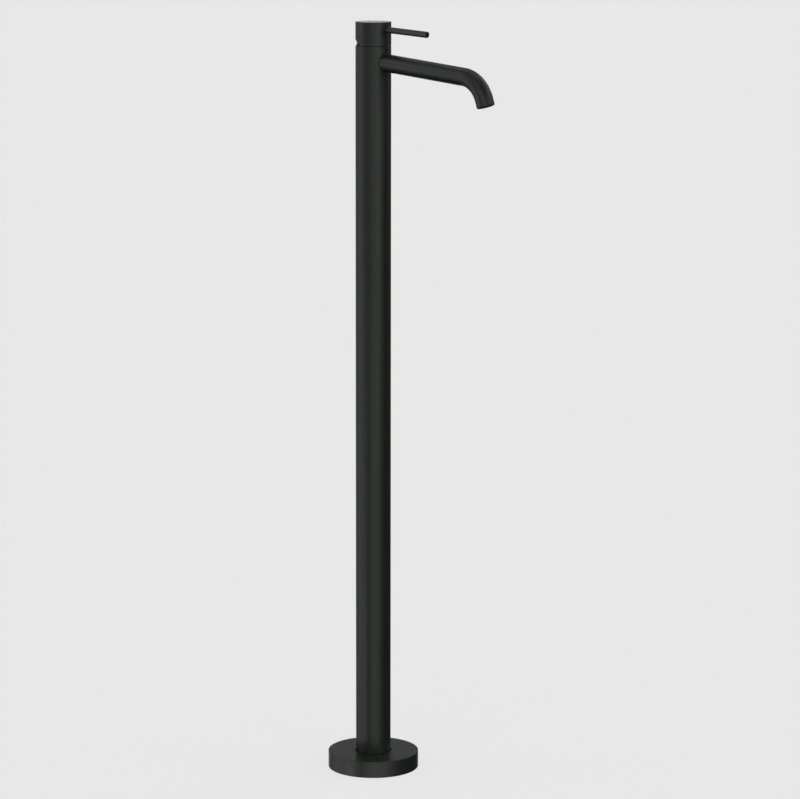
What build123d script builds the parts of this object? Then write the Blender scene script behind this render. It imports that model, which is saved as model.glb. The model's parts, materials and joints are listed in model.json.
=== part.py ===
from build123d import *
import os
from math import sin, cos, tan, radians, sqrt

# Floor-standing basin mixer. Millimetres. The column axis is Z, the floor is z = 0,
# the spout and the lever point along +X.

# ---------------------------------------------------------------- driving dimensions
total_height = 1072.7          # floor to the flat top of the handle cap
column_od = 50.0
column_wall = 2.0
column_bottom = 5.0            # the tube stands in a recess of the floor plate
cap_height = 32.8              # handle cap, from its lower edge to its flat top
seam_gap = 0.9                 # open joint between the cap and the column rim
pivot_below_seam = 5.4         # tilt pivot of the handle under the cap's lower edge
dome_r = 24.5                  # outside of the domed cover, centred on the tilt pivot
dome_wall = 1.6
cap_cavity_r = 24.8            # spherical hollow of the cap, centred on the tilt pivot
notch_start_x = 1.75           # where the cap's lower edge starts to rise to the back
notch_angle = 25.8
tilt_range = 25.0
stem_arm = 8.2                 # from the tilt pivot down to the ball that moves the discs

lever_d = 8.7
lever_tip = 104.5              # from the column axis
lever_below_top = 9.2          # lever axis at the column axis, under the cap's top
lever_slope = 2.54
lever_shank_d = 5.0

spout_od = 25.0
spout_wall = 1.7
spout_axis_z = 1018.4          # height of the spout's centre line at the column axis
spout_slope = 4.33
spout_straight = 174.0         # along the centre line, from the column axis
spout_bend_r = 43.9
spout_end_angle = 70.5         # direction of the outlet under the horizontal
spout_tail = 9.3

cover_od = 129.8
cover_height = 23.8
cover_wall = 2.5
cover_hole_d = 53.0
cover_floor_gap = 0.2

plate_od = 118.0
plate_t = 8.0
plate_hole_d = 44.0
anchor_pcd = 96.0
anchor_hole_d = 9.0
anchor_count = 4

foot_od = 76.0
foot_h = 11.0
foot_screw_pcd = 63.0

pipe_od = 12.0
pipe_wall = 1.0
pipe_y = 10.75                 # half the distance between the two supply pipes
inlet_r = 7.6                  # core radius of the inlet thread
inlet_depth = 10.0
washer_recess_r = 8.0
washer_recess = 2.0
inlet_mouth_z = 5.0

# ---------------------------------------------------------------- derived
R = column_od / 2
Ri = R - column_wall
seam_z = total_height - cap_height
rim_z = seam_z - seam_gap
pz = seam_z - pivot_below_seam          # tilt pivot height
os.makedirs("parts", exist_ok=True)
nodes = {}


def cyl(r, z0, z1, x=0.0, y=0.0):
    return Pos(x, y, (z0 + z1) / 2) * Cylinder(r, z1 - z0)


def ring(r_out, r_in, z0, z1, x=0.0, y=0.0):
    return cyl(r_out, z0, z1, x, y) - cyl(r_in, z0 - 1, z1 + 1, x, y)


def block(x0, x1, y0, y1, z0, z1):
    return Pos((x0 + x1) / 2, (y0 + y1) / 2, (z0 + z1) / 2) * Box(x1 - x0, y1 - y0, z1 - z0)


def ball(r, x=0.0, y=0.0, z=0.0):
    return Pos(x, y, z) * Sphere(r)


def rod(p, d, r, t0, t1):
    # cylinder along direction d through p, from distance t0 to t1
    pl = Plane(origin=Vector(*p) + Vector(*d).normalized() * ((t0 + t1) / 2), z_dir=Vector(*d))
    return pl * Cylinder(r, t1 - t0)


def hexa(af, z0, z1, x=0.0, y=0.0, turn=0.0):
    return Pos(x, y, z0) * extrude(RegularPolygon(af / 2, 6, major_radius=False, rotation=turn), z1 - z0)


def torus(rm, rs, z, x=0.0, y=0.0):
    return Pos(x, y, z) * Torus(rm, rs)


def polar(make, n, start=0.0):
    return [Rot(0, 0, start + 360.0 * i / n) * make() for i in range(n)]


def turned(profile):
    # solid of revolution about Z from (r, z) points
    face = make_face(Polyline(*[(r, 0, z) for r, z in profile], close=True))
    return revolve(face, Axis.Z, 360)


def group(items):
    return Compound(children=[i if isinstance(i, Solid) else i.solids()[0] for i in items])


# ---------------------------------------------------------------- spout path
b0 = radians(spout_slope)
b1 = radians(spout_end_angle)


def spout_dir(b):
    return Vector(cos(b), 0, -sin(b))


p_axis = Vector(0, 0, spout_axis_z)
p_bend0 = p_axis + spout_dir(b0) * spout_straight
centre = p_bend0 + Vector(-sin(b0), 0, -cos(b0)) * spout_bend_r
p_bend1 = centre + Vector(sin(b1), 0, cos(b1)) * spout_bend_r
bm = (b0 + b1) / 2
p_mid = centre + Vector(sin(bm), 0, cos(bm)) * spout_bend_r
p_end = p_bend1 + spout_dir(b1) * spout_tail


def spout_sweep(r, start, cut_end=0.0):
    a = p_axis + spout_dir(b0) * start
    e = p_end - spout_dir(b1) * cut_end
    path = Line(a, p_bend0) + ThreePointArc(p_bend0, p_mid, p_bend1) + Line(p_bend1, e)
    sec = Plane(origin=a, z_dir=spout_dir(b0)) * Circle(r)
    return sweep(sec, path=path)


# ---------------------------------------------------------------- foot
plate = cyl(plate_od / 2, 0, plate_t)
plate = chamfer(plate.edges().group_by(Axis.Z)[-1], 0.8)
plate -= cyl(plate_hole_d / 2, -1, plate_t + 1)
plate -= cyl(R + 0.05, column_bottom, plate_t + 1)
for a in range(anchor_count):
    plate -= Rot(0, 0, 45 + 360 / anchor_count * a) * cyl(anchor_hole_d / 2, -1, plate_t + 1, anchor_pcd / 2)
for a in range(4):
    plate -= Rot(0, 0, 90 * a) * cyl(2.1, -1, plate_t + 1, foot_screw_pcd / 2)
nodes["floor_plate"] = plate

foot = ring(foot_od / 2, R + 0.03, plate_t, plate_t + foot_h)
foot = chamfer(foot.edges().group_by(Axis.Z)[-1].sort_by(SortBy.LENGTH)[-1], 1.0)
for a in range(4):
    foot -= Rot(0, 0, 90 * a) * cyl(2.6, plate_t - 1, plate_t + foot_h + 1, foot_screw_pcd / 2)
    foot -= Rot(0, 0, 90 * a) * cyl(4.6, plate_t + foot_h - 5.0, plate_t + foot_h + 1, foot_screw_pcd / 2)
    foot -= Rot(0, 0, 45 + 90 * a) * rod((0, 0, plate_t + foot_h / 2), (1, 0, 0), 2.5, R - 2, foot_od)
nodes["column_foot_ring"] = foot


def foot_screw():
    z = plate_t + foot_h - 5.0
    s = cyl(2.1, 1.0, z, foot_screw_pcd / 2) + cyl(4.25, z, z + 4.6, foot_screw_pcd / 2)
    return s - hexa(4.0, z + 2.2, z + 5, foot_screw_pcd / 2)


nodes["foot_cap_screws"] = group(polar(foot_screw, 4))


def foot_grub():
    z = plate_t + foot_h / 2
    s = rod((0, 0, z), (1, 0, 0), 2.5, R, foot_od / 2 - 2.5)
    return s - (Pos(foot_od / 2 - 4.0, 0, z) * Rot(0, 90, 0) * extrude(RegularPolygon(1.25, 6, major_radius=False), 4))


nodes["column_grub_screws"] = group(polar(foot_grub, 4, 45))

tube = ring(R, Ri, column_bottom, rim_z)
nipple_r = 9.9
tube -= rod(p_axis, spout_dir(b0), nipple_r + 0.1, 15, 40)
nodes["column_tube"] = tube

# ---------------------------------------------------------------- floor cover, slides up the column
co, ci = cover_od / 2, cover_od / 2 - cover_wall
ch = cover_hole_d / 2
zc0, zc1 = cover_floor_gap, cover_height
cover = turned([
    (ch, zc1), (co - 0.5, zc1), (co, zc1 - 0.5), (co, zc0), (ci, zc0), (ci, zc1 - cover_wall),
    (ch + 3.0, zc1 - cover_wall), (ch + 3.0, zc1 - 3.2), (ch - 0.55, zc1 - 3.2), (ch - 0.55, zc1 - 2.6),
    (ch, zc1 - 2.6),
])
nodes["floor_cover"] = cover
ring_z0, ring_z1 = zc1 - 2.6, zc1 - 0.9
nodes["floor_cover_ring"] = turned([
    (R + 0.06, ring_z0), (ch, ring_z0), (ch, ring_z1), (ch - 0.3, ring_z1 + 0.25),
    (R + 0.36, ring_z1 + 0.25), (R + 0.06, ring_z1),
])

# ---------------------------------------------------------------- supply pipes
body_bottom = pz - 56.0
socket_top = pz - 38.0
pipe_top = socket_top - 0.5
inlet_top = inlet_mouth_z + 26.0
for name, y in (("hot", -pipe_y), ("cold", pipe_y)):
    nodes[name + "_supply_pipe"] = ring(pipe_od / 2, pipe_od / 2 - pipe_wall, inlet_top - 9.0, pipe_top, 0, y)
    nut = hexa(16.0, body_bottom - 9.5, body_bottom - 0.5, 0, y)
    nut = nut & cyl(9.1, body_bottom - 9.5, body_bottom - 0.5, 0, y)
    nodes[name + "_pipe_nut"] = nut - cyl(pipe_od / 2, body_bottom - 12, body_bottom + 2, 0, y)
    union = cyl(9.9, inlet_mouth_z, inlet_mouth_z + 15.0, 0, y)
    union += hexa(16.5, inlet_mouth_z + 15.0, inlet_top, 0, y)
    union -= cyl(inlet_r, inlet_mouth_z - 1, inlet_mouth_z + inlet_depth, 0, y)
    union -= cyl(washer_recess_r, inlet_mouth_z + inlet_depth, inlet_mouth_z + inlet_depth + washer_recess, 0, y)
    union -= cyl(4.5, inlet_mouth_z, inlet_top + 1, 0, y)
    union -= cyl(pipe_od / 2, inlet_top - 9.0, inlet_top + 1, 0, y)
    nodes[name + "_inlet_union"] = union


def filter_washer(y):
    z = inlet_mouth_z + inlet_depth + washer_recess
    w = ring(washer_recess_r - 0.05, 6.0, z - 1.7, z, 0, y)
    mesh = cyl(6.0, z - 1.0, z - 0.7, 0, y)
    for i in (-3, 0, 3):
        for j in (-3, 0, 3):
            mesh -= cyl(1.1, z - 2, z + 1, i, y + j)
    return w + mesh


nodes["inlet_filter_washers"] = group([filter_washer(pipe_y), filter_washer(-pipe_y)])


def spacer(z):
    s = cyl(Ri - 0.2, z, z + 8)
    for y in (pipe_y, -pipe_y):
        s -= cyl(pipe_od / 2 + 0.05, z - 1, z + 9, 0, y)
    for x in (15.0, -15.0):
        s -= cyl(5.0, z - 1, z + 9, x)
    return s


nodes["pipe_spacers"] = group([spacer(z) for z in (120.0, 480.0, 840.0)])

# union holder in the foot of the column
holder = cyl(Ri - 0.15, inlet_mouth_z + 16.0, inlet_mouth_z + 22.0)
for y in (pipe_y, -pipe_y):
    holder -= hexa(16.6, inlet_mouth_z, inlet_top + 5, 0, y)
for x in (17.0, -17.0):
    holder -= cyl(2.2, inlet_mouth_z, inlet_top + 5, x)
nodes["inlet_holder"] = holder

# ---------------------------------------------------------------- valve body
bore_r = 14.1
floor_z = pz - 21.5
shoulder_z = pz - 3.0
body = cyl(Ri - 0.1, body_bottom, pz - 2.4) + cyl(20.9, pz - 2.5, pz + 3.8)
body -= cyl(bore_r, floor_z, pz + 10)
body -= cyl(16.7, shoulder_z, pz + 10)
body -= cyl(19.05, pz, pz + 10)
body -= ring(16.3, bore_r - 0.5, pz - 16.0, pz - 8.5)
for y in (pipe_y, -pipe_y):
    body -= cyl(pipe_od / 2 + 0.05, body_bottom - 1, socket_top, 0, y)
    body -= cyl(3.6, socket_top - 2, floor_z + 1, 0, y * 0.66)
body -= rod(p_axis, spout_dir(b0), nipple_r, 16.2, 30)
nodes["valve_body"] = body

# ---------------------------------------------------------------- cartridge
base = cyl(13.9, pz - 21.0, pz - 18.0)
for y in (pipe_y * 0.66, -pipe_y * 0.66):
    base -= cyl(3.3, pz - 22, pz - 17, 0, y)
    base -= ring(5.6, 3.3, pz - 21.5, pz - 19.9, 0, y)
base -= ring(11.0, 9.6, pz - 18.6, pz - 17.0)
nodes["cartridge_base"] = base


def port_seal(y):
    return ring(5.5, 3.7, pz - 21.5, pz - 19.9, 0, y)


nodes["port_seals"] = group([port_seal(pipe_y * 0.66), port_seal(-pipe_y * 0.66)])
nodes["disc_seal"] = ring(10.9, 9.7, pz - 18.6, pz - 18.0)

fixed = cyl(11.5, pz - 18.0, pz - 14.55)
for y in (pipe_y * 0.66, -pipe_y * 0.66):
    slot = extrude(Pos(0, y, pz - 19) * SlotOverall(7.5, 2.6, rotation=0), 6)
    fixed -= slot
    fixed -= cyl(3.0, pz - 19, pz - 16.6, 0, y)
fixed -= extrude(Pos(-6.5, 0, pz - 19) * SlotOverall(6.5, 3.2, rotation=90), 6)
nodes["fixed_ceramic_disc"] = fixed

moving = cyl(7.8, pz - 14.5, pz - 11.5)
moving -= extrude(Pos(-0.6, 0, pz - 14.5) * SlotOverall(11.5, 7.5, rotation=90), 1.5)
nodes["moving_ceramic_disc"] = moving

carrier = cyl(7.8, pz - 11.5, pz - 9.3)
carrier += cyl(7.8, pz - 9.4, pz - 7.25) & block(-8, 8, -5.3, 5.3, pz - 9.4, pz - 7.25)
carrier -= cyl(2.9, pz - 11.1, pz - 5)
nodes["disc_carrier"] = carrier

housing = cyl(14.0, pz - 18.0, pz + 4.6) + cyl(16.6, shoulder_z, pz)
housing -= cyl(10.06, pz - 30, pz + 10)
housing -= cyl(11.6, pz - 30, pz - 4.8)
housing -= block(8, 20, -4.5, 4.5, pz - 13.8, pz - 9.8)
nodes["cartridge_housing"] = housing

nut = ring(19.0, 14.15, pz, pz + 5.0)
for a in range(4):
    nut -= Rot(0, 0, 45 + 90 * a) * cyl(1.3, pz + 2.5, pz + 6, 16.8)
nodes["retaining_nut"] = nut

rotor = cyl(10.0, pz - 9.0, pz + 7.0) + cyl(11.3, pz - 9.0, pz - 5.1)
rotor -= block(-8.2, 7.0, -3.85, 3.85, pz - 20, pz + 20)
rotor -= block(-20, 20, -5.4, 5.4, pz - 20, pz - 7.0)
rotor -= rod((0, 0, pz), (0, 1, 0), 1.5, -20, 20)
nodes["cartridge_rotor"] = rotor
nodes["stem_pivot_pin"] = rod((0, 0, pz), (0, 1, 0), 1.5, -9.4, 9.4)

# ---------------------------------------------------------------- handle
stem = block(-3.5, 3.5, -3.5, 3.5, pz + 1.0, pz + 31.0)
stem += cyl(3.6, pz - 3.2, pz + 1.5) & block(-3.5, 3.5, -3.5, 3.5, pz - 4, pz + 2)
stem += cyl(2.1, pz - stem_arm, pz - 2.5) + ball(2.6, 0, 0, pz - stem_arm)
stem -= rod((0, 0, pz), (0, 1, 0), 1.56, -20, 20)
nodes["cartridge_stem"] = stem

ls = radians(lever_slope)
l_dir = (cos(ls), 0, -sin(ls))
l_p = (0, 0, total_height - lever_below_top)

cap = cyl(R, seam_z, total_height)
cap = fillet(cap.edges().group_by(Axis.Z)[-1], 0.25)
cap -= ball(cap_cavity_r, 0, 0, pz)
na = radians(notch_angle)
wedge = make_face(Polyline((notch_start_x, 0, seam_z), (-40, 0, seam_z + (40 + notch_start_x) * tan(na)),
                           (-40, 0, seam_z - 5), (notch_start_x, 0, seam_z - 5), close=True))
cap -= extrude(wedge, 60, both=True)
cap -= block(-3.52, 3.52, -3.52, 3.52, pz, pz + 31.3)
cap -= rod(l_p, l_dir, lever_d / 2 + 0.1, 20.5, 40)
cap -= rod(l_p, l_dir, lever_shank_d / 2, 7.5, 40)
grub_z = pz + 27.6
cap -= rod((0, 0, grub_z), (-1, 0, 0), 2.5, 3.0, 40)
cap -= rod((0, 0, grub_z), (-1, 0, 0), 3.2, 21.6, 40)
nodes["handle_cap"] = cap

lever = rod(l_p, l_dir, lever_d / 2, 20.6, lever_tip)
lever = fillet(lever.edges().sort_by(Axis.X)[-1], 0.5)
lever += rod(l_p, l_dir, lever_shank_d / 2, 8.0, 21.0)
nodes["lever_rod"] = lever

grub = rod((0, 0, grub_z), (-1, 0, 0), 2.5, 3.5, 12.5)
grub -= Pos(-9.5, 0, grub_z) * Rot(0, -90, 0) * extrude(RegularPolygon(1.25, 6, major_radius=False), 4)
nodes["handle_grub_screw"] = grub
plug = rod((0, 0, grub_z), (-1, 0, 0), 3.15, 21.6, 30) & cyl(R + 0.1, pz, total_height)
plug += rod((0, 0, grub_z), (-1, 0, 0), 2.4, 16.5, 21.7)
nodes["grub_screw_plug"] = plug

# domed cover over the cartridge, screwed on the valve body
dome = ball(dome_r, 0, 0, pz) - ball(dome_r - dome_wall, 0, 0, pz)
dome = dome & cyl(30, rim_z, pz + 40)
dome += ring(Ri - 0.12, 20.95, pz - 2.2, rim_z + 0.6) & (ball(dome_r - 0.4, 0, 0, pz))
dome -= cyl(16.1, pz, pz + 40)
nodes["dome_cover"] = dome

# ---------------------------------------------------------------- spout
outer = spout_sweep(spout_od / 2, 12.0)
inner = spout_sweep(spout_od / 2 - spout_wall, 5.0, 0.0)
end_in = rod(p_end, spout_dir(b1), spout_od / 2 - spout_wall, -0.5, 2.0)
spout = outer - inner - end_in
# thick root that takes the nipple
root = rod(p_axis, spout_dir(b0), spout_od / 2 - 0.4, 20, 46)
root -= rod(p_axis, spout_dir(b0), nipple_r + 0.02, 10, 60)
spout += root
spout -= cyl(R + 0.12, spout_axis_z - 60, spout_axis_z + 60)
sg_t = 34.0
sg_p = p_axis + spout_dir(b0) * sg_t
sg_d = Vector(-sin(b0), 0, -cos(b0))
spout -= rod(sg_p, sg_d, 2.0, 6, 30)
end_edges = [e for e in spout.edges().filter_by(GeomType.CIRCLE)
             if abs(e.radius - spout_od / 2) < 0.01 and (e.arc_center - p_end).length < 0.1]
spout = fillet(end_edges, 0.6)
nodes["spout_tube"] = spout

nipple = rod(p_axis, spout_dir(b0), nipple_r, 16.6, 43.0)
nipple -= rod(p_axis, spout_dir(b0), 7.4, 10, 60)
for t in (29.0, 38.0):
    g = rod(p_axis, spout_dir(b0), nipple_r + 1, t, t + 2.2) - rod(p_axis, spout_dir(b0), nipple_r - 1.5, t - 1, t + 4)
    nipple -= g
nodes["spout_nipple"] = nipple


def nipple_o_ring(t):
    return rod(p_axis, spout_dir(b0), nipple_r, t + 0.1, t + 2.1) - rod(p_axis, spout_dir(b0), nipple_r - 1.5, t - 1, t + 4)


nodes["spout_o_rings"] = group([nipple_o_ring(29.0), nipple_o_ring(38.0)])
sg = rod(sg_p, sg_d, 2.0, nipple_r + 0.05, spout_od / 2 - 0.5)
sg -= Plane(origin=sg_p + sg_d * (spout_od / 2 - 1.6), z_dir=sg_d) * extrude(RegularPolygon(1.0, 6, major_radius=False), 3)
nodes["spout_grub_screw"] = sg

# ---------------------------------------------------------------- aerator in the outlet
d1 = spout_dir(b1)
aero_r = spout_od / 2 - spout_wall
aero = rod(p_end, d1, aero_r, -8.0, -1.2) - rod(p_end, d1, aero_r - 1.6, -6.8, 2) - rod(p_end, d1, aero_r - 3.4, -9, 2)
nodes["aerator_housing"] = aero
insert = rod(p_end, d1, aero_r - 1.6, -6.8, -2.2)
pl_end = Plane(origin=p_end, z_dir=d1)
holes = []
for n, rr in ((1, 0.0), (6, 2.7), (12, 5.4)):
    for i in range(n):
        a = radians(360.0 * i / n)
        q = pl_end.origin + pl_end.x_dir * (rr * cos(a)) + pl_end.y_dir * (rr * sin(a))
        holes.append(rod(q, d1, 0.85, -10, 5))
insert = insert - holes
nodes["aerator_insert"] = insert
nodes["aerator_washer"] = rod(p_end, d1, aero_r - 0.05, -9.6, -8.0) - rod(p_end, d1, aero_r - 3.6, -12, 0)

# ---------------------------------------------------------------- write
for name, shape in nodes.items():
    export_step(shape, "parts/" + name + ".step")
print("pivot z", pz, "seam z", seam_z, "rim z", rim_z, "nodes", len(nodes))
print("outlet", p_end, "spout underside at the column", spout_axis_z - tan(b0) * R - spout_od / 2 / cos(b0))
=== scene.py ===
import json
import math

import bpy
import bmesh
from mathutils import Matrix, Vector


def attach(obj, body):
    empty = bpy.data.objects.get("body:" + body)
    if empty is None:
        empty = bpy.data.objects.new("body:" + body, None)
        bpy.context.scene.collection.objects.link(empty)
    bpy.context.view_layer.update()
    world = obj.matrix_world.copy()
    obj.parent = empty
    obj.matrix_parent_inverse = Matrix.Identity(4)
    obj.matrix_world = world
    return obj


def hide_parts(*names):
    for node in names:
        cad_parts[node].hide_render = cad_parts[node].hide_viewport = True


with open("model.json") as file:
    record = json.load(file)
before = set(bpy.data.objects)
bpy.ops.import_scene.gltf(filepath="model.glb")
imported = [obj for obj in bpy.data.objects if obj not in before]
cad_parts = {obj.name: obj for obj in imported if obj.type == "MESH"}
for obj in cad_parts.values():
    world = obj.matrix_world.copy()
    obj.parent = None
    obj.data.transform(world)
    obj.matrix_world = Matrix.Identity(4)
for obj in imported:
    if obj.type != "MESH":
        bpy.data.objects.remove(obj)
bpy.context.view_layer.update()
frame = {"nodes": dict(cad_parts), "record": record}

scene = bpy.context.scene
MM = 0.001

# ---------------------------------------------------------------- sizes, the same as the construction's, in mm
H = 1072.7
R = 25.0
RI = 23.0
SEAM = H - 32.8
RIM = SEAM - 0.9
PZ = SEAM - 5.4
DOME_R = 24.5
CAV_R = 24.8
NOTCH_X = 1.75
NOTCH_A = math.radians(25.8)
LEVER_R = 4.35
LEVER_TIP = 104.5
LEVER_Z = H - 9.2
LEVER_S = math.radians(2.54)
SP_R = 12.5
SP_RI = 10.8
SP_Z = 1018.4
SP_B0 = math.radians(4.33)
SP_B1 = math.radians(70.5)
SP_L = 174.0
SP_RB = 43.9
SP_TAIL = 9.3
CO = 129.8 / 2
CI = CO - 2.5
CH = 26.5
CZ0, CZ1 = 0.2, 23.8


# ---------------------------------------------------------------- mesh helpers
def link(o):
    scene.collection.objects.link(o)
    return o


def new_object(name, mesh):
    return link(bpy.data.objects.new(name, mesh))


def mesh_from_rings(name, rings, closed_v=False):
    """Closed mesh from rings of points in mm. A ring with one point is a pole."""
    bm = bmesh.new()
    rows = [[bm.verts.new(Vector(p) * MM) for p in ring] for ring in rings]
    pairs = list(zip(rows[:-1], rows[1:]))
    if closed_v:
        pairs.append((rows[-1], rows[0]))
    for a, b in pairs:
        n = max(len(a), len(b))
        for i in range(n):
            j = (i + 1) % n
            if len(a) == 1:
                bm.faces.new((a[0], b[i], b[j]))
            elif len(b) == 1:
                bm.faces.new((a[i], b[0], a[j]))
            else:
                bm.faces.new((a[i], b[i], b[j], a[j]))
    bmesh.ops.recalc_face_normals(bm, faces=bm.faces)
    for f in bm.faces:
        f.smooth = True
    me = bpy.data.meshes.new(name)
    bm.to_mesh(me)
    bm.free()
    return me


def weighted(o, sharp=None):
    if sharp is not None:
        o.data.set_sharp_from_angle(angle=math.radians(sharp))
    m = o.modifiers.new("normals", "WEIGHTED_NORMAL")
    m.mode = "FACE_AREA"
    m.weight = 60
    m.keep_sharp = sharp is not None
    return o


def rounded(points, closed=True, steps=5):
    """Outline with rounded corners. points: (r, z, corner radius)."""
    out = []
    n = len(points)
    for i, (r, z, c) in enumerate(points):
        if c <= 0 or (not closed and i in (0, n - 1)):
            out.append((r, z))
            continue
        p = Vector((r, z))
        a = Vector(points[(i - 1) % n][:2]) - p
        b = Vector(points[(i + 1) % n][:2]) - p
        a.normalize()
        b.normalize()
        half = math.acos(max(-1, min(1, a.dot(b)))) / 2
        t = c / math.tan(half)
        mid = (a + b).normalized() * (c / math.sin(half))
        o = p + mid
        s = p + a * t - o
        e = p + b * t - o
        sa = math.atan2(s.y, s.x)
        ea = math.atan2(e.y, e.x)
        d = (ea - sa + math.pi) % (2 * math.pi) - math.pi
        for k in range(steps + 1):
            q = sa + d * k / steps
            out.append((o.x + c * math.cos(q), o.y + c * math.sin(q)))
    return out


def refine(prof, longest, closed=True):
    """Adds points on long straight stretches of an outline."""
    out = []
    n = len(prof)
    for i in range(n if closed else n - 1):
        a, b = Vector(prof[i]), Vector(prof[(i + 1) % n])
        k = max(1, int(math.ceil((b - a).length / longest)))
        for j in range(k):
            out.append(tuple(a.lerp(b, j / k)))
    if not closed:
        out.append(prof[-1])
    return out


def turn(name, prof, seg=192, closed=True, matrix=None):
    """Lathes an outline of (r, z) in mm. An open one starts and ends on the axis."""
    rings = []
    for r, z in prof:
        if r < 1e-6:
            pts = [Vector((0, 0, z))]
        else:
            pts = [
                Vector((r * math.cos(2 * math.pi * i / seg), r * math.sin(2 * math.pi * i / seg), z))
                for i in range(seg)
            ]
        rings.append([matrix @ p for p in pts] if matrix else pts)
    return mesh_from_rings(name, rings, closed_v=closed)


def along(origin, direction):
    """Matrix in mm whose Z is the direction."""
    q = Vector(direction).to_track_quat("Z", "Y")
    return Matrix.Translation(Vector(origin)) @ q.to_matrix().to_4x4()


def applied(o):
    """Freezes an object's modifiers into its mesh."""
    dg = bpy.context.evaluated_depsgraph_get()
    me = bpy.data.meshes.new_from_object(o.evaluated_get(dg))
    old = o.data
    o.modifiers.clear()
    o.data = me
    bpy.data.meshes.remove(old)
    return o


def cut(o, cutter_mesh):
    c = new_object("cutter", cutter_mesh)
    m = o.modifiers.new("cut", "BOOLEAN")
    m.operation = "DIFFERENCE"
    m.solver = "EXACT"
    m.object = c
    applied(o)
    bpy.data.objects.remove(c)
    # slivers left along the cut are closed up
    bm = bmesh.new()
    bm.from_mesh(o.data)
    bmesh.ops.remove_doubles(bm, verts=bm.verts, dist=2e-6)
    bmesh.ops.dissolve_degenerate(bm, edges=bm.edges, dist=1e-6)
    bm.to_mesh(o.data)
    bm.free()
    for f in o.data.polygons:
        f.use_smooth = True
    return o


# ---------------------------------------------------------------- materials
def node_material(name):
    m = bpy.data.materials.new(name)
    m.use_nodes = True
    nt = m.node_tree
    nt.nodes.clear()
    out = nt.nodes.new("ShaderNodeOutputMaterial")
    bsdf = nt.nodes.new("ShaderNodeBsdfPrincipled")
    nt.links.new(bsdf.outputs["BSDF"], out.inputs["Surface"])
    tc = nt.nodes.new("ShaderNodeTexCoord")
    return m, nt, bsdf, tc


def noise(nt, tc, scale, detail=3.0, rough=0.55, stretch=None):
    n = nt.nodes.new("ShaderNodeTexNoise")
    n.inputs["Scale"].default_value = scale
    n.inputs["Detail"].default_value = detail
    n.inputs["Roughness"].default_value = rough
    if stretch:
        mp = nt.nodes.new("ShaderNodeMapping")
        mp.inputs["Scale"].default_value = stretch
        nt.links.new(tc.outputs["Object"], mp.inputs["Vector"])
        nt.links.new(mp.outputs["Vector"], n.inputs["Vector"])
    else:
        nt.links.new(tc.outputs["Object"], n.inputs["Vector"])
    return n


def ranged(nt, value, lo, hi, out_lo, out_hi):
    r = nt.nodes.new("ShaderNodeMapRange")
    r.inputs["From Min"].default_value = lo
    r.inputs["From Max"].default_value = hi
    r.inputs["To Min"].default_value = out_lo
    r.inputs["To Max"].default_value = out_hi
    nt.links.new(value, r.inputs["Value"])
    return r.outputs["Result"]


def mixed(nt, fac, a, b):
    x = nt.nodes.new("ShaderNodeMix")
    x.data_type = "RGBA"
    nt.links.new(fac, x.inputs["Factor"])
    for sock, v in ((x.inputs["A"], a), (x.inputs["B"], b)):
        if isinstance(v, tuple):
            sock.default_value = (*v, 1.0)
        else:
            nt.links.new(v, sock)
    return x.outputs["Result"]


def bumped(nt, height, strength, distance, under=None):
    b = nt.nodes.new("ShaderNodeBump")
    b.inputs["Strength"].default_value = strength
    b.inputs["Distance"].default_value = distance
    nt.links.new(height, b.inputs["Height"])
    if under is not None:
        nt.links.new(under, b.inputs["Normal"])
    return b.outputs["Normal"]


def black_coat(name, base, light, rough_lo, rough_hi, grain, spec=0.5, polished_above=None):
    """Matte black coating: fine grain, a faint orange peel, cloudy tone and rubbed edges.
    polished_above: height in metres over which hands have rubbed it smoother."""
    m, nt, bsdf, tc = node_material(name)
    cloud = noise(nt, tc, 9.0, 4.0, 0.6)
    fine = noise(nt, tc, 2300.0, 2.0, 0.5)
    peel = noise(nt, tc, 420.0, 2.0, 0.45)
    tone = mixed(nt, ranged(nt, cloud.outputs["Fac"], 0.35, 0.68, 0.0, 1.0), base, light)
    speck = mixed(nt, ranged(nt, fine.outputs["Fac"], 0.56, 0.78, 0.0, 0.55), tone,
                  tuple(c * 2.1 for c in light))
    # rubbed edges: where a rounded normal leaves the true one
    bev = nt.nodes.new("ShaderNodeBevel")
    bev.samples = 4
    bev.inputs["Radius"].default_value = 0.0006
    geo = nt.nodes.new("ShaderNodeNewGeometry")
    dot = nt.nodes.new("ShaderNodeVectorMath")
    dot.operation = "DOT_PRODUCT"
    nt.links.new(bev.outputs["Normal"], dot.inputs[0])
    nt.links.new(geo.outputs["Normal"], dot.inputs[1])
    edge = ranged(nt, dot.outputs["Value"], 0.995, 0.86, 0.0, 0.5)
    col = mixed(nt, edge, speck, tuple(c * 2.4 for c in light))
    nt.links.new(col, bsdf.inputs["Base Color"])
    wipe = noise(nt, tc, 26.0, 5.0, 0.62, stretch=(1.0, 1.0, 0.35))
    rough = ranged(nt, wipe.outputs["Fac"], 0.3, 0.72, rough_lo, rough_hi)
    if polished_above is not None:
        sep = nt.nodes.new("ShaderNodeSeparateXYZ")
        nt.links.new(tc.outputs["Object"], sep.inputs[0])
        less = nt.nodes.new("ShaderNodeMath")
        less.operation = "MULTIPLY"
        nt.links.new(rough, less.inputs[0])
        nt.links.new(ranged(nt, sep.outputs["Z"], polished_above, polished_above + 0.00012, 1.0, 0.62), less.inputs[1])
        rough = less.outputs[0]
    nt.links.new(rough, bsdf.inputs["Roughness"])
    n1 = bumped(nt, peel.outputs["Fac"], 0.16 * grain, 0.0004)
    n2 = bumped(nt, fine.outputs["Fac"], 0.34 * grain, 0.00012, n1)
    nt.links.new(n2, bsdf.inputs["Normal"])
    bsdf.inputs["Specular IOR Level"].default_value = spec
    return m


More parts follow.
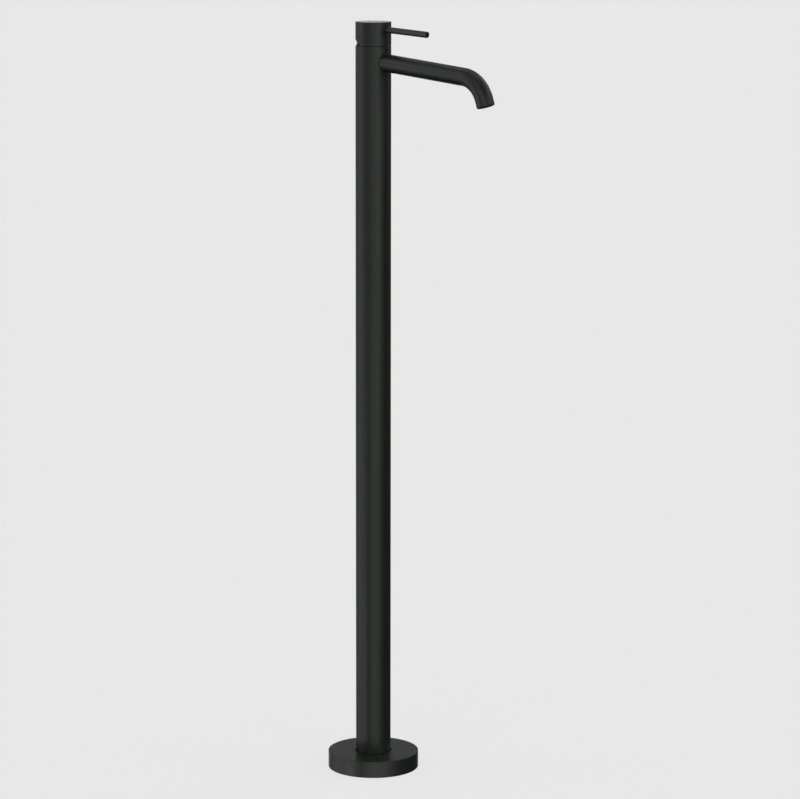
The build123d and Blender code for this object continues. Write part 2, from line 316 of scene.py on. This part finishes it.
def metal(name, base, dark, rough_lo, rough_hi, stretch=(1, 1, 1), scale=220.0, bump=0.12):
    m, nt, bsdf, tc = node_material(name)
    lines = noise(nt, tc, scale, 4.0, 0.6, stretch=stretch)
    stain = noise(nt, tc, 30.0, 4.0, 0.6)
    nt.links.new(mixed(nt, ranged(nt, stain.outputs["Fac"], 0.35, 0.7, 0.0, 1.0), base, dark),
                 bsdf.inputs["Base Color"])
    nt.links.new(ranged(nt, lines.outputs["Fac"], 0.3, 0.7, rough_lo, rough_hi), bsdf.inputs["Roughness"])
    nt.links.new(bumped(nt, lines.outputs["Fac"], bump, 0.0002), bsdf.inputs["Normal"])
    bsdf.inputs["Metallic"].default_value = 1.0
    return m


def plastic(name, base, light, rough_lo, rough_hi, scale=700.0, bump=0.1, sub=0.0):
    m, nt, bsdf, tc = node_material(name)
    fine = noise(nt, tc, scale, 3.0, 0.55)
    cloud = noise(nt, tc, 40.0, 4.0, 0.6)
    nt.links.new(mixed(nt, ranged(nt, cloud.outputs["Fac"], 0.35, 0.7, 0.0, 1.0), base, light),
                 bsdf.inputs["Base Color"])
    nt.links.new(ranged(nt, cloud.outputs["Fac"], 0.3, 0.7, rough_lo, rough_hi), bsdf.inputs["Roughness"])
    nt.links.new(bumped(nt, fine.outputs["Fac"], bump, 0.0002), bsdf.inputs["Normal"])
    return m


BLACK = black_coat("matte_black_coat", (0.0116, 0.0149, 0.0117), (0.0153, 0.0190, 0.0155), 0.27, 0.36, 1.0)
# painted shade: the dome's coat is darker and less glossy than the column's, so the seam gap and the rear notch of the
# cap, where the dome shows, look shaded
DOME_PAINTED_SHADE = black_coat("dome_black_painted_shade", (0.008, 0.0085, 0.0082), (0.012, 0.0125, 0.012), 0.36, 0.46, 0.7, spec=0.25)
RUBBER = plastic("rubber_black", (0.006, 0.006, 0.0062), (0.012, 0.012, 0.0122), 0.62, 0.8, 1500.0, 0.25)
PLUG = plastic("plug_black_plastic", (0.012, 0.0125, 0.012), (0.02, 0.0205, 0.02), 0.4, 0.52, 1800.0, 0.15)
AERO = plastic("aerator_black_plastic", (0.014, 0.0145, 0.0145), (0.026, 0.0265, 0.0265), 0.34, 0.5, 1800.0, 0.12)
GRID = plastic("aerator_grey_plastic", (0.12, 0.123, 0.125), (0.17, 0.173, 0.176), 0.35, 0.5, 1500.0, 0.12)
BRASS = metal("machined_brass", (0.78, 0.56, 0.26), (0.62, 0.43, 0.19), 0.22, 0.38, (1, 1, 14), 160.0, 0.1)
STEEL = metal("turned_steel", (0.56, 0.56, 0.57), (0.44, 0.44, 0.45), 0.24, 0.4, (1, 1, 12), 180.0, 0.1)
ZINC = metal("zinc_plated_steel", (0.55, 0.56, 0.58), (0.42, 0.43, 0.46), 0.3, 0.5, (1, 1, 1), 420.0, 0.18)
CERAMIC = plastic("white_ceramic", (0.86, 0.85, 0.81), (0.92, 0.91, 0.88), 0.12, 0.22, 900.0, 0.04)
WHITE = plastic("white_moulded_plastic", (0.72, 0.72, 0.70), (0.8, 0.8, 0.78), 0.4, 0.55, 700.0, 0.1)

# painted light: the floor cover's coat is a lighter, glossier copy of the column's black coat, standing in for the
# brighter light on its left side
COVER_PAINTED_LIGHT = black_coat("matte_black_cover_painted_light", (0.0124, 0.0157, 0.0125), (0.0165, 0.0202, 0.0167), 0.27, 0.36, 1.0, spec=0.62)
CAP = black_coat("matte_black_cap", (0.0116, 0.0149, 0.0117), (0.0153, 0.0190, 0.0155), 0.27, 0.36, 1.0,
                 polished_above=(H - 0.14) * MM)
# painted highlight: the lever's coat is a lighter, glossier copy of the column's black coat, standing in for the
# brighter light on the thin lever
LEVER_PAINTED_HIGHLIGHT = black_coat("matte_black_lever_painted_highlight", (0.0165, 0.0200, 0.0167), (0.0215, 0.0255, 0.0218), 0.25, 0.34, 1.0, spec=0.6)

slot_material = {
    "black_finish": BLACK, "brass": BRASS, "steel": STEEL, "plate_steel": ZINC,
    "ceramic": CERAMIC, "rubber": RUBBER, "white_plastic": WHITE, "dark_plastic": PLUG,
}
slot_of = {s["node"]: s["material_slot"] for s in frame["record"]["subparts"]}
body_of = {n: b for b, ns in frame["record"]["behaviour"]["bodies"].items() for n in ns}
for node, obj in frame["nodes"].items():
    mat = slot_material[slot_of[node]]
    for s in obj.material_slots:
        s.material = mat


def piece(mesh_or_obj, name, node, mat, sharp=None, weight=True):
    """A detailed piece that stands for a CAD node."""
    o = mesh_or_obj if isinstance(mesh_or_obj, bpy.types.Object) else new_object(name, mesh_or_obj)
    o.data.materials.clear()
    o.data.materials.append(mat)
    if weight:
        weighted(o, sharp)
    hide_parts(node)
    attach(o, body_of[node])
    return o


# ---------------------------------------------------------------- column
prof = rounded([(RI, 5.0, 0.3), (R, 5.0, 0.3), (R, RIM, 0.22), (RI, RIM, 0.2)])
piece(turn("column", refine(prof, 30.0), 256), "column", "column_tube", BLACK)

# ---------------------------------------------------------------- floor cover and its ring
prof = rounded([
    (CH, CZ1, 0.35), (CO, CZ1, 0.5), (CO, CZ0, 0.35), (CI, CZ0, 0.3), (CI, CZ1 - 2.5, 1.2),
    (CH + 3.0, CZ1 - 2.5, 0.0), (CH + 3.0, CZ1 - 3.2, 0.25), (CH - 0.55, CZ1 - 3.2, 0.2),
    (CH - 0.55, CZ1 - 2.6, 0.1), (CH, CZ1 - 2.6, 0.0),
])
piece(turn("floor_cover_shell", refine(prof, 6.0), 320), "floor_cover_shell", "floor_cover", COVER_PAINTED_LIGHT)
prof = rounded([
    (R + 0.06, CZ1 - 2.6, 0.1), (CH, CZ1 - 2.6, 0.1), (CH, CZ1 - 0.95, 0.12),
    (CH - 0.4, CZ1 - 0.7, 0.35), (R + 0.5, CZ1 - 0.7, 0.35), (R + 0.06, CZ1 - 1.0, 0.15),
])
piece(turn("floor_cover_seal", prof, 256), "floor_cover_seal", "floor_cover_ring", RUBBER)

# ---------------------------------------------------------------- domed cover under the handle cap
prof = []
a0 = math.asin((RIM - PZ) / DOME_R)
a1 = math.acos(16.1 / DOME_R)
for k in range(41):
    a = a0 + (a1 - a0) * k / 40
    prof.append((DOME_R * math.cos(a), PZ + DOME_R * math.sin(a)))
ir = DOME_R - 1.6
b1 = math.acos(16.1 / ir)
b0 = math.asin((RIM + 0.6 - PZ) / ir)
for k in range(31):
    a = b1 + (b0 - b1) * k / 30
    prof.append((ir * math.cos(a), PZ + ir * math.sin(a)))
prof += [(20.95, RIM + 0.5), (20.95, PZ - 2.2), (22.88, PZ - 2.2), (22.88, RIM)]
# the dome's coat carries painted shade for the seam gap and rear notch
piece(turn("dome", prof, 224), "dome", "dome_cover", DOME_PAINTED_SHADE, sharp=35)

# ---------------------------------------------------------------- handle cap


def cap_low(r_of_z, c, z_start):
    z = z_start
    for _ in range(60):
        z = max(SEAM, SEAM + (NOTCH_X - r_of_z(z) * c) * math.tan(NOTCH_A))
    return z


def handle_cap():
    n = 288
    kink = math.acos(NOTCH_X / R)
    angles = [2 * math.pi * i / n for i in range(n)]
    for target in (kink, 2 * math.pi - kink):
        i = min(range(n), key=lambda k: abs(angles[k] - target))
        angles[i] = target
    rings = [[] for _ in range(60)]
    count = None
    for al in angles:
        c, s = math.cos(al), math.sin(al)
        zo = cap_low(lambda z: R, c, SEAM)
        # the same plane meets the spherical hollow further in and lower
        zi = SEAM
        for _ in range(200):
            ri = math.sqrt(max(CAV_R ** 2 - (zi - PZ) ** 2, 1e-9))
            zi += 0.5 * (max(SEAM, SEAM + (NOTCH_X - ri * c) * math.tan(NOTCH_A)) - zi)
        ri = math.sqrt(CAV_R ** 2 - (zi - PZ) ** 2)
        col = []
        for r in (7.0, 14.0, 20.0, 24.0):
            col.append((r, H))
        e = 0.3
        for k in range(6):
            q = math.pi / 2 * (1 - k / 5)
            col.append((R - e + e * math.cos(q), H - e + e * math.sin(q)))
        b = 0.14
        top, low = H - e, zo + b
        for k in range(1, 15):
            col.append((R, top + (low - top) * k / 14))
        po, pi = Vector((R, zo)), Vector((ri, zi))
        d = (pi - po).normalized()
        up = Vector((0, 1))
        for t in (0.3, 0.7):
            # small round at the outer lip
            w = po + up * b * (1 - t) ** 2 + d * b * t ** 2
            col.append(tuple(w))
        col.append(tuple(po + d * b))
        for t in (0.33, 0.66):
            col.append(tuple((po + d * b).lerp(pi - d * b * 0.6, t)))
        col.append(tuple(pi - d * b * 0.6))
        el = math.asin((zi - PZ) / CAV_R)
        for k in range(1, 21):
            a = el + 0.004 + (math.pi / 2 - 0.05 - el) * (k - 1) / 19
            col.append((CAV_R * math.cos(a), PZ + CAV_R * math.sin(a)))
        count = len(col)
        for k, (r, z) in enumerate(col):
            rings[k].append(Vector((r * c, r * s, z)))
    rings = rings[:count]
    rings = [[Vector((0, 0, H))]] + rings + [[Vector((0, 0, PZ + CAV_R))]]
    me = mesh_from_rings("handle_cap_shell", rings)
    o = new_object("handle_cap_shell", me)
    d = (math.cos(LEVER_S), 0, -math.sin(LEVER_S))
    cut(o, turn("c1", [(0, 20.4), (LEVER_R + 0.16, 20.4), (LEVER_R + 0.16, 40), (0, 40)], 96, False,
                along((0, 0, LEVER_Z), d)))
    cut(o, turn("c2", [(0, 21.5), (3.2, 21.5), (3.2, 40), (0, 40)], 72, False,
                along((0, 0, PZ + 27.6), (-1, 0, 0))))
    return o


piece(handle_cap(), "handle_cap_shell", "handle_cap", CAP, sharp=38)

# plug of the grub screw at the back of the cap
prof = rounded([(0, 16.5, 0), (2.4, 16.5, 0.2), (2.4, 21.6, 0), (3.06, 21.6, 0.05), (3.06, 24.62, 0.3),
                (1.2, 24.62, 0.1), (1.0, 24.45, 0.1), (0, 24.45, 0)], closed=False)
piece(turn("screw_plug", prof, 72, False, along((0, 0, PZ + 27.6), (-1, 0, 0))),
      "screw_plug", "grub_screw_plug", PLUG, sharp=38)

# ---------------------------------------------------------------- lever rod
prof = rounded([(0, 8.0, 0), (2.5, 8.0, 0.4), (2.5, 20.55, 0), (LEVER_R, 20.55, 0.2), (LEVER_R, LEVER_TIP, 0.55),
                (0, LEVER_TIP, 0)], closed=False, steps=7)
piece(turn("lever", refine(prof, 6.0, False), 96, False,
           along((0, 0, LEVER_Z), (math.cos(LEVER_S), 0, -math.sin(LEVER_S)))), "lever", "lever_rod", LEVER_PAINTED_HIGHLIGHT, sharp=40)

# ---------------------------------------------------------------- spout
Y = Vector((0, 1, 0))


def sdir(b):
    return Vector((math.cos(b), 0, -math.sin(b)))


def sup(b):
    return Vector((math.sin(b), 0, math.cos(b)))


P_AX = Vector((0, 0, SP_Z))
P_B0 = P_AX + sdir(SP_B0) * SP_L
P_C = P_B0 - sup(SP_B0) * SP_RB
P_B1 = P_C + sup(SP_B1) * SP_RB
P_END = P_B1 + sdir(SP_B1) * SP_TAIL


def spout():
    n = 160
    rings = []

    def ring(origin, b, r, shift=0.0):
        return [origin + sdir(b) * shift + sup(b) * (r * math.cos(2 * math.pi * i / n)) + Y * (r * math.sin(2 * math.pi * i / n))
                for i in range(n)]

    def saddle(r, off):
        out = []
        for i in range(n):
            a = 2 * math.pi * i / n
            up, y = r * math.cos(a), r * math.sin(a)
            t = (math.sqrt((R + 0.08) ** 2 - y * y) - up * math.sin(SP_B0)) / math.cos(SP_B0) + off
            out.append(P_AX + sdir(SP_B0) * t + sup(SP_B0) * up + Y * y)
        return out

    first = saddle(SP_R, 0.3)
    rings.append(saddle(SP_R - 0.3, 0.0))
    rings.append(saddle(SP_R - 0.09, 0.09))
    rings.append(first)
    second = ring(P_AX + sdir(SP_B0) * 34.0, SP_B0, SP_R)
    for k in range(1, 6):
        rings.append([a.lerp(b, k / 6) for a, b in zip(first, second)])
    for k in range(0, 29):
        rings.append(ring(P_AX + sdir(SP_B0) * (34.0 + (SP_L - 34.0) * k / 28), SP_B0, SP_R))
    for k in range(1, 73):
        b = SP_B0 + (SP_B1 - SP_B0) * k / 72
        rings.append(ring(P_C + sup(b) * SP_RB, b, SP_R))
    e = 0.6
    for k in range(1, 5):
        rings.append(ring(P_B1, SP_B1, SP_R, (SP_TAIL - e) * k / 4))
    for k in range(1, 7):
        q = math.pi / 2 * k / 6
        rings.append(ring(P_END, SP_B1, SP_R - e + e * math.cos(q), -e + e * math.sin(q)))
    rings.append(ring(P_END, SP_B1, SP_RI + 0.3))
    for k in range(1, 5):
        q = math.pi / 2 * k / 4
        rings.append(ring(P_END, SP_B1, SP_RI + 0.3 - 0.3 * math.sin(q), -0.3 + 0.3 * math.cos(q)))
    for k in range(1, 5):
        rings.append(ring(P_B1, SP_B1, SP_RI, (SP_TAIL - 0.3) * (1 - k / 4)))
    for k in range(71, -1, -3):
        b = SP_B0 + (SP_B1 - SP_B0) * k / 72
        rings.append(ring(P_C + sup(b) * SP_RB, b, SP_RI))
    for k in range(14, -1, -1):
        rings.append(ring(P_AX + sdir(SP_B0) * (46.0 + (SP_L - 46.0) * k / 15), SP_B0, SP_RI))
    rings.append(ring(P_AX + sdir(SP_B0) * 46.0, SP_B0, 9.95))
    rings.append(saddle(9.95, 0.0))
    return mesh_from_rings("spout", rings, closed_v=True)


piece(spout(), "spout", "spout_tube", BLACK, sharp=42)

# ---------------------------------------------------------------- aerator in the outlet
M_END = along(P_END, sdir(SP_B1))


def aerator_ring():
    seg = 216
    prof = rounded([(SP_RI - 3.3, -8.0, 0.1), (SP_RI - 0.08, -8.0, 0.2), (SP_RI - 0.08, -1.2, 0.35),
                    (SP_RI - 1.6, -1.2, 0.3), (SP_RI - 1.6, -6.7, 0.0), (SP_RI - 3.3, -6.7, 0.1)])
    rings = []
    for r, t in prof:
        ring = []
        for i in range(seg):
            a = 2 * math.pi * i / seg
            rr = r
            ph = (a * 12 / (2 * math.pi)) % 1.0
            if SP_RI - 2.4 < r < SP_RI - 1.1 and t > -3.2 and 0.32 < ph < 0.68:
                rr = r + 0.55           # notches for the aerator key
            ring.append(M_END @ Vector((rr * math.cos(a), rr * math.sin(a), t)))
        rings.append(ring)
    return mesh_from_rings("aerator_ring", rings, closed_v=True)


piece(aerator_ring(), "aerator_ring", "aerator_housing", AERO, sharp=30)


def aerator_grid():
    cu = bpy.data.curves.new("grid", "CURVE")
    cu.dimensions = "2D"
    cu.fill_mode = "BOTH"

    def loop(points):
        s = cu.splines.new("POLY")
        s.points.add(len(points) - 1)
        for p, (x, y) in zip(s.points, points):
            p.co = (x, y, 0, 1)
        s.use_cyclic_u = True

    rim = SP_RI - 1.72
    loop([(rim * math.cos(2 * math.pi * i / 96), rim * math.sin(2 * math.pi * i / 96)) for i in range(96)])
    pitch, h = 1.75, 0.72
    for i in range(-6, 7):
        for j in range(-6, 7):
            x, y = pitch * (i + 0.5 * j), pitch * math.sqrt(3) / 2 * j
            if math.hypot(x, y) < rim - 1.05:
                loop([(x + h * math.cos(math.pi / 6 + k * math.pi / 3), y + h * math.sin(math.pi / 6 + k * math.pi / 3))
                      for k in range(6)])
    cu.extrude = 1.9
    tmp = bpy.data.objects.new("tmp", cu)
    link(tmp)
    dg = bpy.context.evaluated_depsgraph_get()
    me = bpy.data.meshes.new_from_object(tmp.evaluated_get(dg))
    bpy.data.objects.remove(tmp)
    bm = bmesh.new()
    bm.from_mesh(me)
    bmesh.ops.remove_doubles(bm, verts=bm.verts, dist=0.001)
    for v in bm.verts:
        v.co = (M_END @ Vector((v.co.x, v.co.y, v.co.z - 4.6))) * MM
    bmesh.ops.recalc_face_normals(bm, faces=bm.faces)
    if bm.calc_volume(signed=True) < 0:
        bmesh.ops.reverse_faces(bm, faces=bm.faces)
    bm.to_mesh(me)
    bm.free()
    me.name = "aerator_grid"
    return me


piece(aerator_grid(), "aerator_grid", "aerator_insert", GRID, weight=False)

# ---------------------------------------------------------------- floor, stage only
floor = bpy.data.meshes.new("floor")
S = 60.0
floor.from_pydata([(-S, -S, -0.00005), (S, -S, -0.00005), (S, S, -0.00005), (-S, S, -0.00005)], [], [(0, 1, 2, 3)])
floor_o = new_object("studio_floor", floor)
fm = bpy.data.materials.new("pale_floor")
fm.use_nodes = True
nt = fm.node_tree
nt.nodes.clear()
out = nt.nodes.new("ShaderNodeOutputMaterial")
em = nt.nodes.new("ShaderNodeEmission")
em.inputs["Color"].default_value = (1, 1, 1, 1)
em.inputs["Strength"].default_value = 0.706
df = nt.nodes.new("ShaderNodeBsdfDiffuse")
df.inputs["Color"].default_value = (0.22, 0.22, 0.22, 1)
ad = nt.nodes.new("ShaderNodeAddShader")
geo = nt.nodes.new("ShaderNodeNewGeometry")
tr = nt.nodes.new("ShaderNodeBsdfTransparent")
mx = nt.nodes.new("ShaderNodeMixShader")
nt.links.new(em.outputs[0], ad.inputs[0])
nt.links.new(df.outputs[0], ad.inputs[1])
nt.links.new(geo.outputs["Backfacing"], mx.inputs[0])
nt.links.new(ad.outputs[0], mx.inputs[1])
nt.links.new(tr.outputs[0], mx.inputs[2])
nt.links.new(mx.outputs[0], out.inputs[0])
floor.materials.append(fm)
floor_o.visible_diffuse = False
floor_o.visible_glossy = False

# ---------------------------------------------------------------- studio light
CAM_AZ = math.radians(45.0)
TO_CAM = Vector((math.sin(CAM_AZ), -math.cos(CAM_AZ), 0))
TO_RIGHT = Vector((math.cos(CAM_AZ), math.sin(CAM_AZ), 0))


def toward(az, el):
    """Direction at az degrees to the right of the photo's viewpoint, as seen from the object, el above the floor."""
    a, e = math.radians(az), math.radians(el)
    return (TO_CAM * math.cos(a) + TO_RIGHT * math.sin(a)) * math.cos(e) + Vector((0, 0, math.sin(e)))


world = bpy.data.worlds.new("studio")
scene.world = world
world.use_nodes = True
nt = world.node_tree
nt.nodes.clear()
out = nt.nodes.new("ShaderNodeOutputWorld")
tc = nt.nodes.new("ShaderNodeTexCoord")


def lobe(az, el, inner, outer, strength):
    """A soft round light in the surroundings: full inside inner degrees, nothing past outer."""
    d = nt.nodes.new("ShaderNodeVectorMath")
    d.operation = "DOT_PRODUCT"
    nt.links.new(tc.outputs["Generated"], d.inputs[0])
    d.inputs[1].default_value = toward(az, el)
    r = nt.nodes.new("ShaderNodeMapRange")
    r.interpolation_type = "SMOOTHSTEP"
    r.inputs["From Min"].default_value = math.cos(math.radians(outer))
    r.inputs["From Max"].default_value = math.cos(math.radians(inner))
    r.inputs["To Min"].default_value = 0.0
    r.inputs["To Max"].default_value = strength
    nt.links.new(d.outputs["Value"], r.inputs["Value"])
    return r.outputs["Result"]


LOBES = [
    # the pale floor around the object, lit from above
    (-60, -36, 2, 27, 1.40), (-12, -36, 2, 27, 0.78), (36, -36, 2, 27, 0.45),
    # low light, just under the horizon
    (-180, -12, 2, 27, 0.49), (-156, -12, 2, 27, 0.22), (-108, -12, 2, 27, 0.46), (-84, -12, 2, 27, 0.32),
    (-60, -12, 2, 27, 0.18), (12, -12, 2, 27, 0.57),
    # walls of the studio
    (-132, 6, 2, 18, 0.28), (-84, 10, 2, 27, 0.47), (-36, 10, 2, 27, 0.26), (-12, 10, 2, 27, 0.50), (36, 10, 2, 27, 1.07),
    (60, 10, 2, 27, 0.39), (108, 10, 2, 27, 0.12), (124, 4, 1, 13, 0.45), (180, 3, 1, 12, 0.44),
    (-4, 21, 3, 15, 0.70),
    # high soft boxes
    (-156, 34, 2, 27, 0.35), (-108, 34, 2, 27, 0.29), (-84, 34, 2, 27, 0.48), (-36, 34, 2, 27, 0.66),
    (84, 34, 2, 27, 0.81), (132, 34, 2, 27, 0.98), (0, 70, 5, 40, 0.22), (180, 70, 5, 40, 0.41),
]
total = None
for args in LOBES:
    v = lobe(*args)
    if total is None:
        total = v
    else:
        a = nt.nodes.new("ShaderNodeMath")
        a.operation = "ADD"
        nt.links.new(total, a.inputs[0])
        nt.links.new(v, a.inputs[1])
        total = a.outputs[0]
base = nt.nodes.new("ShaderNodeMath")
base.operation = "ADD"
base.inputs[1].default_value = 0.036
nt.links.new(total, base.inputs[0])
bg = nt.nodes.new("ShaderNodeBackground")
bg.inputs["Color"].default_value = (1, 1, 1, 1)
nt.links.new(base.outputs[0], bg.inputs["Strength"])
plain = nt.nodes.new("ShaderNodeBackground")
plain.inputs["Color"].default_value = (0.807, 0.807, 0.807, 1)
lp = nt.nodes.new("ShaderNodeLightPath")
mx = nt.nodes.new("ShaderNodeMixShader")
nt.links.new(lp.outputs["Is Camera Ray"], mx.inputs[0])
nt.links.new(bg.outputs[0], mx.inputs[1])
nt.links.new(plain.outputs[0], mx.inputs[2])
nt.links.new(mx.outputs[0], out.inputs[0])

scene.view_settings.view_transform = "Standard"
scene.view_settings.look = "None"
scene.view_settings.exposure = 0.0
scene.view_settings.gamma = 1.0

# ---------------------------------------------------------------- camera
DIST, HEIGHT = 4.41343, 1.33283
PITCH = math.radians(10.1995)
YAW = math.radians(0.4918)
ROLL = math.radians(0.0885)
cam = bpy.data.cameras.new("camera")
cam.sensor_width = 36.0
cam.lens = 142.077
cam.clip_start, cam.clip_end = 0.05, 200.0
cam_o = link(bpy.data.objects.new("camera", cam))
cam_o.location = TO_CAM * DIST + Vector((0, 0, HEIGHT))
ahead = -TO_CAM
ahead = Matrix.Rotation(-YAW, 3, "Z") @ ahead
side = ahead.cross(Vector((0, 0, 1))).normalized()
look = (ahead * math.cos(PITCH) - Vector((0, 0, 1)) * math.sin(PITCH)).normalized()
up = side.cross(look).normalized()
rot = Matrix((side, up, -look)).transposed().to_4x4()
cam_o.matrix_world = Matrix.Translation(cam_o.location) @ rot @ Matrix.Rotation(ROLL, 4, "Z")
scene.camera = cam_o
